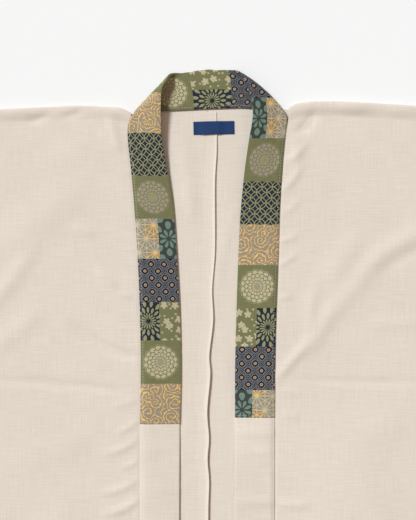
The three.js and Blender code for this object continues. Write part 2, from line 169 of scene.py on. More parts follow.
BACK_FOLDS = [
    Fold(-40, -20, -22, -152, -4, 11, 1.3), Fold(32, -130, 8, -244, 2, 9, 1.0),
    Fold(-32, -100, -14, -142, 0, 8, 1.1),
    Fold(-38, -316, -8, -313, 1, 4, 0.5), Fold(-38, -374, -12, -379, 1, 4, 0.5),
    Fold(-38, -420, -14, -424, 0, 3.5, 0.5), Fold(-38, -452, -16, -449, 1, 3.5, 0.4),
    Fold(-38, -490, -14, -495, 0, 4, 0.6), Fold(24, -300, 28, -420, 3, 7, 0.5),
]


def ease(value, low, high):
    share = np.clip((value - low) / (high - low), 0, 1)
    return share * share * (3 - 2 * share)


def blend_of(first, second, share):
    return first + (second - first) * share


def through(points, at):
    """Height at `at` of a smooth line through the points, which run from left to right."""
    x = np.array([p.x for p in points], float)
    y = np.array([p.y for p in points], float)
    slope = np.gradient(y, x)
    at = np.clip(at, x[0], x[-1])
    i = np.clip(np.searchsorted(x, at) - 1, 0, len(x) - 2)
    run = x[i + 1] - x[i]
    t = (at - x[i]) / run
    rise = y[i] * (1 + 2 * t) * (1 - t) ** 2 + y[i + 1] * t * t * (3 - 2 * t)
    return rise + run * (slope[i] * t * (1 - t) ** 2 + slope[i + 1] * t * t * (t - 1))


def fold_height(fold, x, y):
    """A soft ridge, or a trough where its height is negative, that dies away at both ends."""
    run_x, run_y = fold.to_x - fold.from_x, fold.to_y - fold.from_y
    run = math.hypot(run_x, run_y)
    along = ((x - fold.from_x) * run_x + (y - fold.from_y) * run_y) / run ** 2
    aside = ((x - fold.from_x) * run_y - (y - fold.from_y) * run_x) / run
    inside = np.clip(along, 0, 1)
    bowed = aside - fold.bow * 4 * inside * (1 - inside)
    past = (along - inside) * run
    ends = ease(along, -0.1, 0.35) * (1 - ease(along, 0.65, 1.1))
    return fold.height * ends * np.exp(-((bowed ** 2 + past ** 2) / fold.width ** 2))


def sleeve_depth(out):
    return blend_of(ARMHOLE_DEPTH, CUFF_DEPTH + CUFF_DROP, (out - HALF_WIDTH) / SLEEVE_LENGTH)


def sewn_edge(side, y):
    """Where the band's outer edge is sewn to the front, and above it the collar's."""
    start, top = side.leg[0], side.leg[-3]
    down = np.clip((start.seam_y - y) / (start.seam_y + BODY_LENGTH), 0, 1)
    in_band = blend_of(start.seam_x, side.hem_seam, down)
    legs = [leg for leg in side.leg if leg.seam_y <= top.seam_y]
    in_collar = np.interp(y, [leg.seam_y for leg in legs], [leg.seam_x for leg in legs])
    return np.where(y < start.seam_y, in_band, in_collar)


def front_z(side, x, y):
    """Middle of the upper layer's wall. It comes down to the lower layer at the side seams."""
    out = np.abs(x)
    on_sleeve = out > HALF_WIDTH
    underarm = np.where(on_sleeve, y + sleeve_depth(out), HALF_WIDTH - out)
    closed = np.where(on_sleeve, 1, ease(-y, ARMHOLE_DEPTH - CLOSING, ARMHOLE_DEPTH))
    open_share = 1 - closed * (1 - ease(underarm, 0, SIDE_SLOPE))
    # Two slow ripples, then the puff along the shoulder's fold, the creases and the collar's lift
    drape = 0.18 * np.sin(x / 31 + y / 47) + 0.14 * np.sin(y / 29 - x / 53)
    below = through(side.shoulder, x) - y
    puff = side.puff * (1 + 0.3 * np.sin(x / 23) + 0.2 * np.sin(x / 9.7 + 1))
    drape = drape + puff * (1 - ease(below, side.sag - 7, side.sag + 7))
    for fold in side.folds + side.sleeve_folds:
        drape = drape + fold_height(fold, x, y)
    out = np.abs(x) - np.abs(sewn_edge(side, y))
    lift = ease(out, 0.25, 4) * np.exp(-((out / BESIDE_REACH) ** 2)) * ease(-y, 20, 60)
    drape = drape + side.beside * lift
    return FRONT_Z + open_share * (LOFT + np.maximum(drape, LEAST_DRAPE + 0.05 * drape))


def back_z(x, y):
    rise = np.zeros_like(x)
    for fold in BACK_FOLDS:
        rise = rise + fold_height(fold, x, y)
    return BACK_Z + rise


def cloth_piece(name, grid, wall, has=None, strip=None, fullness=None, rounding=0.35):
    """A sheet through a grid of points, given its wall and softly rounded edges. `has` says
    which cells the cloth covers, `strip` gives its pattern's places in metres, and `fullness`
    is each column's share of the wall."""
    rows, columns = grid.shape[:2]
    corner = np.arange(rows * columns).reshape(rows, columns)
    quads = np.stack([corner[:-1, :-1], corner[1:, :-1], corner[1:, 1:], corner[:-1, 1:]], -1)
    cells = quads[has] if has is not None else quads.reshape(-1, 4)
    used, cells = np.unique(cells, return_inverse=True)
    points = grid.reshape(-1, 3)[used] + np.array([0, SHOULDER_Y, 0])
    mesh = bpy.data.meshes.new(name)
    mesh.from_pydata((points * MM).tolist(), [], cells.reshape(-1, 4).tolist())
    if strip is not None:
        laid = mesh.uv_layers.new(name="strip")
        laid.data.foreach_set("uv", strip.astype(np.float32).ravel())
    made = bpy.data.objects.new(name, mesh)
    bpy.context.collection.objects.link(made)
    bpy.ops.object.select_all(action="DESELECT")
    bpy.context.view_layer.objects.active = made
    made.select_set(True)
    walled = made.modifiers.new("wall", "SOLIDIFY")
    walled.thickness = wall * MM
    walled.offset = 0
    if fullness is not None:
        group = made.vertex_groups.new(name="fullness")
        for index in range(len(mesh.vertices)):
            group.add([index], float(fullness[index % columns]), "REPLACE")
        walled.vertex_group = group.name
    softened = made.modifiers.new("edge", "BEVEL")
    softened.width = rounding * MM
    softened.segments = 2
    softened.limit_method = "ANGLE"
    softened.angle_limit = SHARP
    for modifier in ("wall", "edge"):
        bpy.ops.object.modifier_apply(modifier=modifier)
    bpy.ops.object.shade_smooth_by_angle(angle=SHARP)
    return made


def folded_length(side, back_x, front_x, top, bottom, front_rows, back_rows):
    """Grid of a length of cloth folded at the top: front from the hem up, fold, back."""
    columns = len(back_x)
    radius = (front_z(side, back_x, top) - BACK_Z) / 2
    highest = top - radius - CLOTH_WALL / 2
    rows = []
    for share in np.linspace(0, 1, front_rows + 1):
        y = blend_of(bottom, highest, 1 - (1 - share) ** 1.2)
        x = front_x(y)
        rows.append(np.stack([x, y, front_z(side, x, y)], -1))
    for turn in np.linspace(0, math.pi, FOLD_STEPS + 1)[1:]:
        y = highest + radius * math.sin(turn)
        rows.append(np.stack([back_x, y, BACK_Z + radius * (1 + math.cos(turn))], -1))
    for share in np.linspace(0, 1, back_rows + 1)[1:]:
        y = blend_of(highest, bottom, share)
        rows.append(np.stack([back_x, y, back_z(back_x, y)], -1))
    return np.array(rows).reshape(-1, columns, 3)


def front_edge(side, y):
    """The front's raw edge: inside its band, then under the collar up to the neck."""
    tucked = sewn_edge(side, y) - side.sign * ALLOWANCE
    return blend_of(side.neck_x, tucked, ease(-y, 14, 40))


class Thread:
    """One number or colour in a material. Arithmetic on it adds Math nodes."""

    def __init__(self, tree, socket):
        self.tree, self.socket = tree, socket

    def node(self, kind, settings=None, inputs=None, output=0):
        made = self.tree.nodes.new(kind)
        for name, value in (settings or {}).items():
            setattr(made, name, value)
        for key, value in (inputs or {}).items():
            if isinstance(value, Thread):
                self.tree.links.new(value.socket, made.inputs[key])
            else:
                made.inputs[key].default_value = value
        return Thread(self.tree, made.outputs[output])

    def maths(self, operation, *others):
        values = dict(enumerate((self, *others)))
        return self.node("ShaderNodeMath", {"operation": operation}, values)

    def __add__(self, other):
        return self.maths("ADD", other)

    def __sub__(self, other):
        return self.maths("SUBTRACT", other)

    def __rsub__(self, other):
        return self.maths("MULTIPLY_ADD", -1, other)

    def __mul__(self, other):
        return self.maths("MULTIPLY", other)

    def __truediv__(self, other):
        return self.maths("DIVIDE", other)

    def __lt__(self, other):
        return self.maths("LESS_THAN", other)

    def __gt__(self, other):
        return self.maths("GREATER_THAN", other)

    __radd__, __rmul__ = __add__, __mul__

    def sine(self):
        return self.maths("SINE")

    def size(self):
        return self.maths("ABSOLUTE")

    def part(self):
        return self.maths("FRACT")

    def whole(self):
        return self.maths("FLOOR")

    def scaled(self, x, y, z=1):
        """A place stretched along each axis."""
        settings = {"operation": "MULTIPLY"}
        return self.node("ShaderNodeVectorMath", settings, {0: self, 1: (x, y, z)})

    def noise(self, scale, detail=2.0):
        inputs = {"Vector": self, "Scale": scale, "Detail": detail, "Roughness": 0.55}
        return self.node("ShaderNodeTexNoise", None, inputs)

    def split(self, scale=1):
        """The x and y of a place, each times the scale."""
        axes = self.node("ShaderNodeSeparateXYZ", None, {0: self})
        return axes * scale, Thread(self.tree, axes.socket.node.outputs[1]) * scale

    def dyed(self, colour):
        """The colour, made lighter or darker by this shade."""
        tint = self.node("ShaderNodeCombineXYZ", None, {0: self, 1: self, 2: self})
        settings = {"operation": "MULTIPLY"}
        return self.node("ShaderNodeVectorMath", settings, {0: tint, 1: colour})

    def into(self, shader, name):
        """Leads to one of a shader's sockets."""
        self.tree.links.new(self.socket, shader.inputs[name])

    def under(self, colour, mask):
        """This colour with another laid over it where the mask is 1."""
        settings = {"data_type": "RGBA", "clamp_factor": True}
        return self.node("ShaderNodeMix", settings, {0: mask, 6: self, 7: colour}, 2)


def new_material(name, roughness, sheen, specular=0.25):
    """A fabric: returns the material, its shader, and a thread to start from."""
    material = bpy.data.materials.new(name)
    material.use_nodes = True
    shader = material.node_tree.nodes["Principled BSDF"]
    shader.inputs["Roughness"].default_value = roughness
    shader.inputs["Sheen Weight"].default_value = sheen
    shader.inputs["Specular IOR Level"].default_value = specular
    place = material.node_tree.nodes.new("ShaderNodeTexCoord").outputs["Object"]
    return material, shader, Thread(material.node_tree, place)


def weave_bump(place, slub, pitch, strength):
    """Bump of a plain weave: threads that pass over and under each other, with slubs."""
    turns = 2 * math.pi / (pitch * MM)
    across, along = place.split(turns)
    threads = across.sine() * along.sine()
    height = threads * 0.5 + slub * 1.6
    inputs = {"Height": height, "Strength": strength, "Distance": 0.25 * MM}
    return place.node("ShaderNodeBump", None, inputs)


def cotton(name, colour, roughness=0.88):
    """Unbleached slubby cotton: uneven threads both ways, and a faint cloudiness."""
    material, shader, place = new_material(name, roughness, 0.12)
    weft = place.scaled(34, 720).noise(1.0, 2.0)
    warp = place.scaled(760, 26).noise(1.0, 2.0)
    fine = place.scaled(160, 1500).noise(1.0, 1.0)
    cloud = place.noise(7.0, 3.0)
    slub = weft * 0.62 + warp * 0.38
    shade = 1 + (weft - 0.5) * 0.22 + (warp - 0.5) * 0.19 + (fine - 0.5) * 0.06 + (cloud - 0.5) * 0.06
    shade.dyed(colour).into(shader, "Base Color")
    weave_bump(place, slub, 1.5, 0.35).into(shader, "Normal")
    return material


sand_cotton = cotton("sand_cotton", (0.74, 0.658, 0.566))


def thread(name, colour):
    """Sewing thread: matt, with a little unevenness from stitch to stitch."""
    material, shader, place = new_material(name, 0.7, 0.1)
    shade = place.noise(420.0, 1.0) * 0.5 + 0.75
    shade.dyed(colour).into(shader, "Base Color")
    return material


STITCH_PITCH = 3.8
STITCH_HALF_SIZE = (1.35, 0.26, 0.22)
STITCH_STRAY = 0.07
# Thread the colour of the cloth, with painted shade: it is set darker than the cloth to stand for the
# shade along the stitch lines.
shaded_sand_thread = thread("shaded_sand_thread", (0.66, 0.57, 0.48))


def unit(vectors):
    return vectors / np.linalg.norm(vectors, axis=-1, keepdims=True)


def one_stitch():
    """Points and faces of a stitch along x, in millimetres."""
    bpy.ops.object.select_all(action="DESELECT")
    bpy.ops.mesh.primitive_uv_sphere_add(segments=6, ring_count=4, radius=1)
    bead = bpy.context.object
    bpy.ops.transform.resize(value=STITCH_HALF_SIZE)
    bpy.ops.object.transform_apply(location=False, rotation=False, scale=True)
    points = np.array([vertex.co for vertex in bead.data.vertices])
    faces = [list(polygon.vertices) for polygon in bead.data.polygons]
    bpy.ops.object.delete()
    return points, faces


def sewn(name, lines, material):
    """Running stitches, half sunk in the cloth, along lines of points with their normals."""
    bead, bead_faces = one_stitch()
    points, faces = [], []
    for line, up in lines:
        run = np.linalg.norm(np.diff(line, axis=0), axis=1)
        length = np.concatenate([[0], np.cumsum(run)])
        at = np.arange(STITCH_PITCH / 2, length[-1], STITCH_PITCH)
        sampled = [
            np.stack([np.interp(at, length, values[:, k]) for k in range(3)], -1)
            for values in (line, np.gradient(line, axis=0), up)
        ]
        centre, ahead, normal = sampled[0], unit(sampled[1]), unit(sampled[2])
        aside = np.cross(normal, ahead)
        ahead = unit(ahead + aside * STITCH_STRAY * np.sin(at * 1.7)[:, None])
        for middle, forward, sideways, outward in zip(centre, ahead, aside, normal):
            first = len(points) * len(bead)
            points.append(middle + bead @ np.array([forward, sideways, outward]))
            faces += [[first + corner for corner in face] for face in bead_faces]
    mesh = bpy.data.meshes.new(name)
    placed = (np.concatenate(points) + np.array([0, SHOULDER_Y, 0])) * MM
    mesh.from_pydata(placed.tolist(), [], faces)
    mesh.shade_smooth()
    mesh.materials.append(material)
    made = bpy.data.objects.new(name, mesh)
    bpy.context.collection.objects.link(made)
    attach(made, "root")
    return made


def flat_line(x, y, z):
    line = np.stack(np.broadcast_arrays(x, y, z), -1).astype(float)
    return line, np.broadcast_to(np.array([0.0, 0, 1]), line.shape)


def body(side):
    inner = np.linspace(side.sign * LAYER_GAP / 2, side.neck_x, NECK_COLUMNS + 1)[:-1]
    side_x = side.sign * (HALF_WIDTH - LAYER_GAP / 2)
    near = EDGE_COLUMNS
    far = np.linspace(0, 1, OUTER_COLUMNS + 1)[1:] ** OUTER_SPREAD

    def spread(edge):
        close = edge[:len(near)] + side.sign * near
        start = edge[len(near):] + side.sign * near[-1]
        return np.concatenate([close, blend_of(start, side_x, far)])

    outer = spread(np.full(len(near) + len(far), side.neck_x))

    def front_x(y):
        return np.concatenate([inner, spread(front_edge(side, y[NECK_COLUMNS:]))])

    back_x = np.concatenate([inner, outer])
    top = np.concatenate([through(NECKLINE, inner), through(side.shoulder, outer)])
    bottom = np.full(len(back_x), -float(BODY_LENGTH))
    grid = folded_length(side, back_x, front_x, top, bottom, FRONT_ROWS, BACK_ROWS)
    has = np.ones((grid.shape[0] - 1, grid.shape[1] - 1), bool)
    has[: FRONT_ROWS + FOLD_STEPS, :NECK_COLUMNS] = False
    made = cloth_piece(f"body_{side.name}_cloth", grid, CLOTH_WALL, has)
    made.data.materials.append(sand_cotton)
    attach(made, "root")
    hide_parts(f"body_{side.name}")
    hem_y = HEM - BODY_LENGTH
    on_front = np.linspace(side.hem_seam + side.sign * 3, side_x - side.sign * 2, 80)
    on_back = np.linspace(side.sign, side.hem_free - side.sign * 3, 20)
    front_top = front_z(side, on_front, np.full_like(on_front, hem_y)) + CLOTH_WALL / 2
    hem = sewn(f"hem_{side.name}", [
        flat_line(on_front, hem_y, front_top), flat_line(on_back, hem_y, BACK_TOP),
    ], shaded_sand_thread)
    front_width = HALF_WIDTH - abs(side.neck_x) + ALLOWANCE
    cut = (HALF_WIDTH + front_width) * BODY_LENGTH * MM * MM


for side in (RIGHT, LEFT):
    body(side)

# Sleeves. Each is one straight piece folded at the top and sewn along the underside, set
# into the armhole with a plain seam.
SLEEVE_COLUMNS, SLEEVE_FRONT_ROWS, SLEEVE_BACK_ROWS = 78, 120, 50


def sleeve(side):
    share = np.linspace(0, 1, SLEEVE_COLUMNS + 1)
    reach = LAYER_GAP / 2 + share * (SLEEVE_LENGTH - LAYER_GAP / 2)
    x = side.sign * (HALF_WIDTH + reach)
    top = through(side.shoulder, side.sign * HALF_WIDTH) - share * CUFF_DROP
    bottom = -sleeve_depth(np.abs(x))
    rows = (SLEEVE_FRONT_ROWS, SLEEVE_BACK_ROWS)
    grid = folded_length(side, x, lambda y: x, top, bottom, *rows)
    made = cloth_piece(f"sleeve_{side.name}_cloth", grid, CLOTH_WALL)
    made.data.materials.append(sand_cotton)
    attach(made, "root")
    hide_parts(f"sleeve_{side.name}")
    cuff_x = side.sign * (HALF_WIDTH + SLEEVE_LENGTH - HEM)
    down = np.linspace(top[-1] - 5, -sleeve_depth(abs(cuff_x)) + 4, 70)
    height = front_z(side, np.full_like(down, cuff_x), down) + CLOTH_WALL / 2
    cuff = sewn(f"cuff_{side.name}", [flat_line(cuff_x, down, height)], shaded_sand_thread)


for side in (RIGHT, LEFT):
    sleeve(side)

# Front bands. Below the cover the collar's own strip shows: body cloth folded over the
# front's raw edge, its outer edge sewn down and topstitched.
BAND_WALL = 1.9
BAND_ROWS = 150
STRIP_COLUMNS = np.array([0, 0.03, 0.06, 0.09, 0.12, *np.linspace(0.16, 1, 18)])
BAND_LOFT = {"right": 1, "left": 4.4}
LOFT_RUN = 70
BAND_FOLDS = [
    Fold(30, -420, 92, -424, 1, 7, 1.0), Fold(34, -452, 90, -446, -1, 6, 0.5),
    Fold(30, -509, 92, -513, 1, 7, 1.1), Fold(32, -560, 92, -552, 1, 8, 0.6),
    Fold(-92, -446, -32, -440, 1, 8, 0.5), Fold(-92, -494, -36, -500, -1, 7, 0.6),
    Fold(-92, -546, -36, -540, 1, 9, 0.6), Fold(34, -640, 90, -652, 1, 9, 0.7),
    Fold(-92, -620, -36, -630, -1, 9, 0.7),
]
# Shares of a strip's width: over the front's allowance, where it lies level, and at the stitching
LEVEL = 0.24
SEWN_IN = 0.07


def fall(v):
    """How far a strip has come down at v across it, past the front's allowance."""
    return np.maximum(0, (v - LEVEL) / (1 - LEVEL))


def pressed(v):
    """A strip's share of its wall: its sewn edge is pressed thin by the stitching."""
    return 0.4 + 0.6 * ease(v, 0, 0.12)


def lying_z(side, x, y, wall):
    """Heights of a strip's sewn edge on its front and of its free edge on the back."""
    inner = x - side.sign * ALLOWANCE
    front = np.maximum(front_z(side, x, y), front_z(side, inner, y))
    return front + CLOTH_WALL / 2 + LAYER_GAP + wall / 2, BACK_TOP + LAYER_GAP + wall / 2


def band_point(side, y, v):
    start = side.leg[0]
    down = np.clip((start.seam_y - y) / (start.seam_y + BODY_LENGTH), 0, 1)
    seam = blend_of(start.seam_x, side.hem_seam, down)
    x = blend_of(seam, blend_of(start.free_x, side.hem_free, down), v)
    seam_z, free_z = lying_z(side, seam, y, BAND_WALL)
    rise = sum(fold_height(fold, x, y) for fold in BAND_FOLDS)
    loft = BAND_LOFT[side.name] * ease(start.seam_y - y, 0, LOFT_RUN)
    rise = rise - (1 - pressed(v)) * BAND_WALL / 2
    return np.stack([x, y, blend_of(seam_z, free_z + loft, fall(v)) + rise], -1)


def band(side):
    top = side.leg[0].seam_y - LAYER_GAP
    y = np.linspace(-BODY_LENGTH, top, BAND_ROWS + 1)
    grid = np.stack([band_point(side, y, np.full_like(y, v)) for v in STRIP_COLUMNS], 1)
    made = cloth_piece(
        f"band_{side.name}_cloth", grid, BAND_WALL, fullness=pressed(STRIP_COLUMNS), rounding=0.5,
    )
    made.data.materials.append(sand_cotton)
    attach(made, "root")
    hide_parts(f"band_{side.name}")
    line = band_point(side, y[:-1], np.full(BAND_ROWS, SEWN_IN))
    stitches = sewn(f"band_stitches_{side.name}", [
        flat_line(line[:, 0], line[:, 1], line[:, 2] + pressed(SEWN_IN) * BAND_WALL / 2),
    ], shaded_sand_thread)
    flat = (abs(side.hem_seam - side.hem_free) * MM, (top + BODY_LENGTH) * MM)


for side in (RIGHT, LEFT):
    band(side)

# Collar cover. A strip of patchwork-print cotton sewn over the collar: up one front, rolled
# over beside the neck, inside out across the back, rolled again and down the other front.
COVER_WALL = 2.7
COVER_STEP = 2.2
ROLL_DEGREES = (45, 90, 135, 180)
BULGE = 0.16
NECK_SEAM_Z = 3.3
NECK_FREE_Z = 2.1
BACK_NECK = [
    Leg(-62, -6.2, -25, 44.6, 0), Leg(-25, -4.2, -9, 47.2, 0),
    Leg(12, -2.6, 2, 48, 0), Leg(56, -2.4, 13, 47.2, 0),
]
COVER_WIDTH = 51
NECK_START, NECK_END = 430, 620


def leg_section(side, leg, v):
    seam_z, free_z = lying_z(side, np.float64(leg.seam_x), np.float64(leg.seam_y), COVER_WALL)
    near_neck = (leg.stand / side.leg[-1].stand) ** 2
    roll_top = NECK_SEAM_Z + 2 * side.roll.seam_radius - 0.6
    seam_z = blend_of(seam_z, max(seam_z, roll_top), near_neck)
    z = blend_of(seam_z, free_z + leg.stand, fall(v)) + leg.stand * BULGE * 4 * v * (1 - v)
    z = z - (1 - pressed(v)) * COVER_WALL / 2 * (1 - near_neck)
    return np.stack([
        blend_of(leg.seam_x, leg.free_x, v), blend_of(leg.seam_y, leg.free_y, v), z,
    ], -1)


def roll_section(side, degrees, v):
    roll, turn = side.roll, math.radians(degrees)
    along = np.array([roll.free_x - roll.seam_x, roll.free_y - roll.seam_y])
    along = along / np.hypot(*along)
    outward = side.sign * np.array([along[1], -along[0]])
    radius = blend_of(roll.seam_radius, roll.free_radius, v)
    slid = roll.slide * radius * (turn - math.pi / 2)
    pushed = radius * (math.sin(turn) - 1) - COVER_WALL / 2 + roll.bow * 4 * v * (1 - v)
    x = blend_of(roll.seam_x, roll.free_x, v) + along[0] * slid + outward[0] * pushed
    y = blend_of(roll.seam_y, roll.free_y, v) + along[1] * slid + outward[1] * pushed
    z = blend_of(NECK_SEAM_Z, NECK_FREE_Z, fall(v)) + radius * (1 + math.cos(turn))
    return np.stack([x, y, z], -1)


def rail(points, per_span=24):
    """A smooth centripetal curve through points."""
    ends = [2 * points[0] - points[1], *points, 2 * points[-1] - points[-2]]
    found = []
    for a, b, c, d in zip(ends, ends[1:], ends[2:], ends[3:]):
        knots = np.cumsum([0, *(np.linalg.norm(q - p) ** 0.5 for p, q in ((a, b), (b, c), (c, d)))])
        for t in np.linspace(knots[1], knots[2], per_span, endpoint=False):
            def mix(p, q, i, j):
                return p + (q - p) * (t - knots[i]) / (knots[j] - knots[i])
            ab, bc, cd = mix(a, b, 0, 1), mix(b, c, 1, 2), mix(c, d, 2, 3)
            found.append(mix(mix(ab, bc, 0, 2), mix(bc, cd, 1, 3), 1, 2))
    return np.array([*found, points[-1]])


def cover_grid():
    v = STRIP_COLUMNS

    def up(side):
        legs = [leg_section(side, leg, v) for leg in side.leg]
        return legs + [roll_section(side, degrees, v) for degrees in ROLL_DEGREES]

    def across(row):
        z = blend_of(NECK_SEAM_Z, NECK_FREE_Z, fall(v))
        x, y = blend_of(row.seam_x, row.free_x, v), blend_of(row.seam_y, row.free_y, v)
        return np.stack([x, y, z], -1)

    sections = np.array(up(RIGHT) + [across(row) for row in BACK_NECK] + up(LEFT)[::-1])
    fine = np.stack([rail(sections[:, j]) for j in range(len(v))], 1)
    middle = fine[:, np.argmin(np.abs(v - 0.5))]
    length = np.concatenate([[0], np.cumsum(np.linalg.norm(np.diff(middle, axis=0), axis=1))])
    steps = np.linspace(0, length[-1], int(length[-1] / COVER_STEP) + 1)
    flat = fine.reshape(len(fine), -1)
    even = np.stack([np.interp(steps, length, flat[:, k]) for k in range(flat.shape[1])], -1)
    return even.reshape(len(steps), -1, 3)


Patch = namedtuple("Patch", "start end low high ground motif")
REPEAT = 378
SEWN, FREE = -4, 55  # just past the strip's two edges
PATCHES = [
    Patch(0, 52, SEWN, FREE, "taupe", "scrolls"),
    Patch(52, 108, SEWN, FREE, "olive", "cream flower"),
    Patch(108, 158, SEWN, 25, "navy", "burst"),
    Patch(108, 158, 25, FREE, "olive", "blossoms"),
    Patch(214, 266, SEWN, 29, "taupe", "hemp leaf"),
    Patch(214, 266, 29, FREE, "teal", "leaves"),
    Patch(266, 322, SEWN, FREE, "olive", "taupe flower"),
    Patch(322, 378, SEWN, FREE, "navy", "circles"),
]


def dye(red, green, blue):
    """Screen colour as the linear one a shader takes."""
    def linear(channel):
        share = channel / 255
        return share / 12.92 if share < 0.04045 else ((share + 0.055) / 1.055) ** 2.4
    return (linear(red), linear(green), linear(blue), 1)


def between(value, low, high):
    return (value > low) * (value < high)


def distance(x, y):
    return (x * x + y * y).maths("SQRT")


def turned(x, y):
    return y.maths("ARCTAN2", x)


def komon(u, t):
    """Tan dots, each ringed, in the diamonds of a net on navy."""
    a, b = (u / 18 + t / 17).part() - 0.5, (u / 18 - t / 17).part() - 0.5
    out = distance((a + b) * 9, (a - b) * 8.5)
    edge = a.size().maths("MAXIMUM", b.size())
    ring = edge * 6.2 + out * 0.5
    lines = between(edge, 0.42, 0.452).maths("MAXIMUM", between(ring, 4.1, 4.6))
    colour = out.node("ShaderNodeRGB")
    colour.socket.default_value = dye(41, 46, 66)
    colour = colour.under(dye(148, 148, 141), lines)
    colour = colour.under(dye(27, 31, 46), ring < 4.1)
    colour = colour.under(dye(170, 144, 114), out < 2.1)
    return colour.under(dye(112, 92, 76), out < 0.7)


def flower(x, y, petals=16, radius=23, centre=0.2):
    """Rings of round petals, each ring half a petal on: masks of the petals and the centre."""
    out, turn = distance(x, y) / radius, turned(x, y)
    ring = (out * 5).whole()
    scallop = (turn * (petals / 2) + ring * (math.pi / 2)).sine().size()
    layer = (out * 5 - scallop * 0.6).part() > 0.34
    edge = out < (turn * (petals / 2)).sine().size() * 0.1 + 0.9
    return layer * edge, out < centre


def petal_burst(u, t, petals, pitch):
    """Rings of lens-shaped petals that fan out from 0, 0."""
    out, turn = distance(u, t), turned(u, t)
    ring = ((out - 2.5) / pitch).whole()
    inside = ((out - 2.5) / pitch).part()
    ray = (turn * (petals / 2) + ring * (math.pi / 2)).sine().size()
    lens = ray > 1 - inside * (1 - inside) * (1.8 - ring * 0.35)
    return lens * between(out, 2.5, 2.5 + 3 * pitch)


def hemp_leaf(u, t):
    """Fine lines of the six-pointed hemp leaf."""
    lines = 0
    for degrees in (0, 60, 120):
        aim = math.radians(degrees)
        across = u * math.cos(aim) + t * math.sin(aim)
        turned_by = u * math.sin(aim) - t * math.cos(aim)
        edge = ((across / 18).part() - 0.5).size() > 0.468
        spoke = ((turned_by / 10.39).part() - 0.5).size() > 0.46
        lines = edge.maths("MAXIMUM", spoke).maths("MAXIMUM", lines)
    return lines


def nearest(place, scale, randomness):
    """Place from the nearest of some scattered centres, x and y in millimetres."""
    inputs = {0: place, 2: scale, "Randomness": randomness}
    cells = place.node("ShaderNodeTexVoronoi", {"voronoi_dimensions": "2D"}, inputs)
    centre = Thread(cells.tree, cells.socket.node.outputs["Position"])
    away = place.node("ShaderNodeVectorMath", {"operation": "SUBTRACT"}, {0: place, 1: centre})
    return away.split(1 / MM)


def arabesque(place):
    """Gold scrolls that curl round scattered centres."""
    x, y = nearest(place, 58.0, 1.0)
    bent = place.noise(140.0, 2.0) * 2.2
    curl = turned(x, y) / (2 * math.pi) + distance(x, y) / 4.6 + bent
    return curl.part() < 0.25


def blossoms(place):
    """Scattered five-petalled blossoms, with single petals beside them."""
    found = 0
    for scale, reach in ((68, 4.9), (110, 1.5)):
        x, y = nearest(place, scale, 0.7)
        lobes = (turned(x, y) * 2.5).sine().size() * 0.5 + 0.5
        found = (distance(x, y) < lobes * reach).maths("MAXIMUM", found)
    return found


def circles(x, y, pitch):
    """Fine lines of circles that each overlap their neighbours by half."""
    found = 0
    for shift in (0, 0.5):
        across = ((x / pitch + shift).part() - 0.5) * pitch
        along = ((y / pitch + shift).part() - 0.5) * pitch
        found = ((distance(across, along) - pitch / 2).size() < 0.55).maths("MAXIMUM", found)
    return found


GROUNDS = {
    "olive": dye(119, 118, 83), "taupe": dye(152, 141, 122), "navy": dye(40, 45, 62),
    "teal": dye(66, 70, 64),
}
CREAM, GOLD, PALE_OLIVE = dye(186, 177, 144), dye(236, 188, 108), dye(146, 146, 104)
TAUPE, PALE_TAUPE, PALE_TEAL = dye(158, 148, 126), dye(196, 186, 156), dye(112, 134, 122)


def flower_layers(x, y, petal_dye, centre_dye):
    petals, centre = flower(x, y)
    return [(petals, petal_dye), (centre, centre_dye)]


def hemp_layers(x, y):
    leaf = hemp_leaf(x, y)
    return [(leaf, PALE_TAUPE), (leaf * ((x / 36).part() < 0.5) * (y > 0), GOLD)]


MOTIFS = {
    "scrolls": lambda x, y, laid: [(arabesque(laid), GOLD)],
    "blossoms": lambda x, y, laid: [(blossoms(laid), CREAM)],
    "burst": lambda x, y, laid: [(petal_burst(x, y, 16, 8), PALE_OLIVE)],
    "leaves": lambda x, y, laid: [(petal_burst(x, y, 8, 10), PALE_TEAL)],
    "circles": lambda x, y, laid: [(circles(x, y, 14), PALE_OLIVE)],
    "hemp leaf": lambda x, y, laid: hemp_layers(x, y),
    "cream flower": lambda x, y, laid: flower_layers(x, y, CREAM, TAUPE),
    "taupe flower": lambda x, y, laid: flower_layers(x, y, TAUPE, PALE_OLIVE),
}


def patchwork_print():
    """Traditional patches on olive, navy and taupe, repeated along the strip in millimetres.
    Dots on navy fill what the table of patches leaves."""
    material, shader, place = new_material("patchwork_print", 0.85, 0, 0.1)
    laid = place.node("ShaderNodeUVMap", {"uv_map": "strip"})
    stray = laid.noise(70.0, 1.0) - 0.5
    u, t = laid.split(1 / MM)
    u, t = u + stray * 2, t + stray * 1.5
    colour = komon(u, t)
    u = (u / REPEAT).part() * REPEAT
    for patch in PATCHES:
        area = between(u, patch.start, patch.end) * between(t, patch.low, patch.high)
        colour = colour.under(GROUNDS[patch.ground], area)
        x, y = u - (patch.start + patch.end) / 2, t - (patch.low + patch.high) / 2
        for mask, motif_dye in MOTIFS[patch.motif](x, y, laid):
            colour = colour.under(motif_dye, area * mask)

    weft, warp = laid.scaled(60, 900).noise(1.0, 2.0), laid.scaled(900, 60).noise(1.0, 2.0)
    slub = weft * 0.5 + warp * 0.5
    shade = (slub - 0.5) * 0.7 + 1
    shade.dyed(colour).into(shader, "Base Color")
    weave_bump(laid, slub, 1.1, 0.3).into(shader, "Normal")
    return material


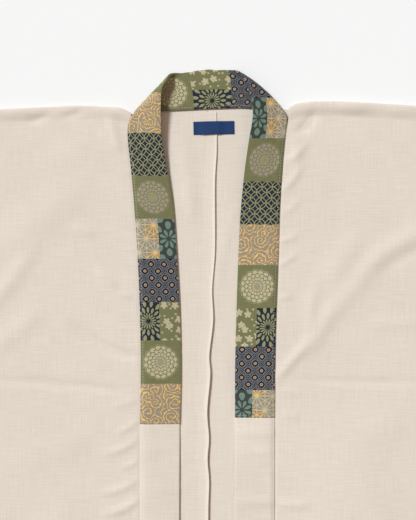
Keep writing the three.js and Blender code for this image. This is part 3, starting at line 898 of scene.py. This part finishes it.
def collar_cover():
    points = cover_grid()
    run = np.linalg.norm(np.diff(points, axis=0), axis=2)
    along = np.concatenate([np.zeros((1, len(STRIP_COLUMNS))), np.cumsum(run, axis=0)])
    length = along[-1].mean()
    # Round the neck the strip's edges differ in length, and the print is eased in there
    along = along + (length - along[-1]) * ease(along, NECK_START, NECK_END)
    across = np.broadcast_to(STRIP_COLUMNS * COVER_WIDTH, along.shape)
    laid = np.stack([along, across], -1) * MM
    strip = np.stack([laid[:-1, :-1], laid[1:, :-1], laid[1:, 1:], laid[:-1, 1:]], 2)
    full = pressed(STRIP_COLUMNS)
    made = cloth_piece("collar_cover_cloth", points, COVER_WALL, None, strip, full, 0.5)
    made.data.materials.append(patchwork_print())
    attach(made, "root")
    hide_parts("collar_cover")

    outward = unit(np.cross(np.gradient(points, axis=0), np.gradient(points, axis=1)))
    pale_thread = thread("pale_thread", (0.6, 0.6, 0.54))
    j = np.argmin(np.abs(STRIP_COLUMNS - SEWN_IN))
    lines = []
    for face in (-1, 1):
        surface = points + outward * (face * COVER_WALL / 2) * full[:, None]
        lines.append((surface[1:-1, j], face * outward[1:-1, j]))
        for row in (1, -2):
            lines.append((surface[row, 1:-1], face * outward[row, 1:-1]))
    stitches = sewn("cover_stitches", lines, pale_thread)
    flat = (COVER_WIDTH * MM, length * MM)


collar_cover()

# Centre-back seam. Both raw edges are turned to one side and left loose, so their edge
# stands up, waves and throws a shadow. The rows give the edge's place and its lift.
Loose = namedtuple("Loose", "y x lift")
SEAM_EDGE = [
    Loose(-760, 3, 2), Loose(-640, 1, 3), Loose(-520, 0.4, 3.6), Loose(-485, 1.4, 3.4),
    Loose(-458, -0.5, 3.9), Loose(-430, 1.2, 3.5), Loose(-397, -1, 4), Loose(-345, 3, 3.8),
    Loose(-325, 1.6, 3.3), Loose(-277, 6.6, 3), Loose(-238, 5.4, 2.5), Loose(-190, 8.9, 2.7),
    Loose(-95, 9.2, 2.4), Loose(-56, 11.4, 1.8), Loose(-7, 11, 0.3),
]
SEAM_WIDTH = 14
SEAM_Z = BACK_TOP + LAYER_GAP + CLOTH_WALL / 2


def back_seam():
    edge = rail([np.array([row.x, row.y, row.lift], float) for row in SEAM_EDGE])
    v = np.linspace(0, 1, 19)
    inset, lift = (1 - v) * SEAM_WIDTH, v ** 9
    fullness = 0.15 + 0.4 * ease(v, 0, 0.8)
    base = BACK_TOP + LAYER_GAP / 2 + fullness * CLOTH_WALL / 2
    grid = np.stack([
        edge[:, :1] - inset, np.repeat(edge[:, 1:2], len(v), 1), base + edge[:, 2:] * lift,
    ], -1)
    made = cloth_piece("back_seam_cloth", grid, CLOTH_WALL, fullness=fullness)
    made.data.materials.append(sand_cotton)
    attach(made, "root")
    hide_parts("back_seam")


back_seam()

# Label. A plain woven tape in navy, sewn to the back over the seam, close under the collar.
LABEL_WIDTH, LABEL_HEIGHT, LABEL_WALL = 53, 17, 0.9
LABEL_X, LABEL_Y, LABEL_TILT = 7.6, -27.5, math.radians(1.2)
LABEL_LIFT = 0.3
SEAM_MIDDLE_X = 4.4
NAVY_TAPE = dye(42, 64, 106)


def label_point(x, y):
    over = SEAM_Z + CLOTH_WALL / 2 + LAYER_GAP + LABEL_LIFT + LABEL_WALL / 2
    from_seam = LABEL_X + x - SEAM_MIDDLE_X
    on_seam = 1 - ease(np.abs(from_seam), 8, 18)
    return np.stack([
        LABEL_X + x * math.cos(LABEL_TILT) - y * math.sin(LABEL_TILT),
        LABEL_Y + x * math.sin(LABEL_TILT) + y * math.cos(LABEL_TILT),
        blend_of(BACK_TOP + LAYER_GAP + LABEL_WALL / 2, over, on_seam),
    ], -1)


def woven_tape():
    material, shader, place = new_material("navy_tape", 0.75, 0, 0.08)
    x, y = place.split(2 * math.pi / 0.0007)
    ribs = (x + y * 0.4).sine()
    shade = ribs * 0.06 + place.noise(300.0) * 0.25 + 0.85
    shade.dyed(NAVY_TAPE[:3]).into(shader, "Base Color")
    inputs = {"Height": ribs, "Strength": 0.3, "Distance": 0.1 * MM}
    place.node("ShaderNodeBump", None, inputs).into(shader, "Normal")
    return material


def label():
    x = np.linspace(-LABEL_WIDTH / 2, LABEL_WIDTH / 2, 54)
    y = np.linspace(-LABEL_HEIGHT / 2, LABEL_HEIGHT / 2, 18)
    made = cloth_piece("label_tape", label_point(*np.meshgrid(x, y)), LABEL_WALL, rounding=0.3)
    made.data.materials.append(woven_tape())
    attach(made, "root")
    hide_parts("label")
    navy_thread = thread("navy_thread", (0.012, 0.03, 0.1))
    ends = []
    for end in (-1, 1):
        line = label_point(np.full(16, end * (LABEL_WIDTH / 2 - 1.2)), y[1:-1])
        ends.append(flat_line(line[:, 0], line[:, 1], line[:, 2] + LABEL_WALL / 2))
    stitches = sewn("label_stitches", ends, navy_thread)


label()

# Floor, light and camera. The jacket is seen from straight above, lit from the upper left.
SUN_STRENGTH, SUN_COLOUR, SUN_SPREAD = 3.2, (0.868, 0.9475, 1), math.radians(14)
SUN_FROM = Vector((-0.7, 0.56, 1))
SKY_STRENGTH, SKY_COLOUR = 0.372, (1, 0.83, 0.715, 1)
FLOOR_SIZE, FLOOR_COLOUR = 8, (0.9, 0.9, 0.9, 1)
LENS, SENSOR = 85, 36
CAMERA_HEIGHT = 1.596
BELOW_SHOULDER = 199
bpy.ops.object.select_all(action="DESELECT")
bpy.ops.mesh.primitive_plane_add(size=FLOOR_SIZE)
floor = bpy.context.object
floor.name = "floor"
pale = bpy.data.materials.new("pale_floor")
pale.use_nodes = True
paint = pale.node_tree.nodes["Principled BSDF"]
paint.inputs["Base Color"].default_value = FLOOR_COLOUR
paint.inputs["Roughness"].default_value = 1.0
paint.inputs["Specular IOR Level"].default_value = 0.0
floor.data.materials.append(pale)

bpy.context.scene.view_settings.view_transform = "Standard"
world = bpy.data.worlds.new("studio")
world.use_nodes = True
world.node_tree.nodes["Background"].inputs["Color"].default_value = SKY_COLOUR
world.node_tree.nodes["Background"].inputs["Strength"].default_value = SKY_STRENGTH
bpy.context.scene.world = world

bpy.ops.object.light_add(type="SUN")
sun = bpy.context.object
sun.data.energy = SUN_STRENGTH
sun.data.color = SUN_COLOUR
sun.data.angle = SUN_SPREAD
sun.rotation_euler = SUN_FROM.to_track_quat("Z", "Y").to_euler()

bpy.ops.object.camera_add(location=(0, (SHOULDER_Y - BELOW_SHOULDER) * MM, CAMERA_HEIGHT))
camera = bpy.context.object
camera.data.lens = LENS
camera.data.sensor_fit = "VERTICAL"
camera.data.sensor_height = SENSOR
bpy.context.scene.camera = camera
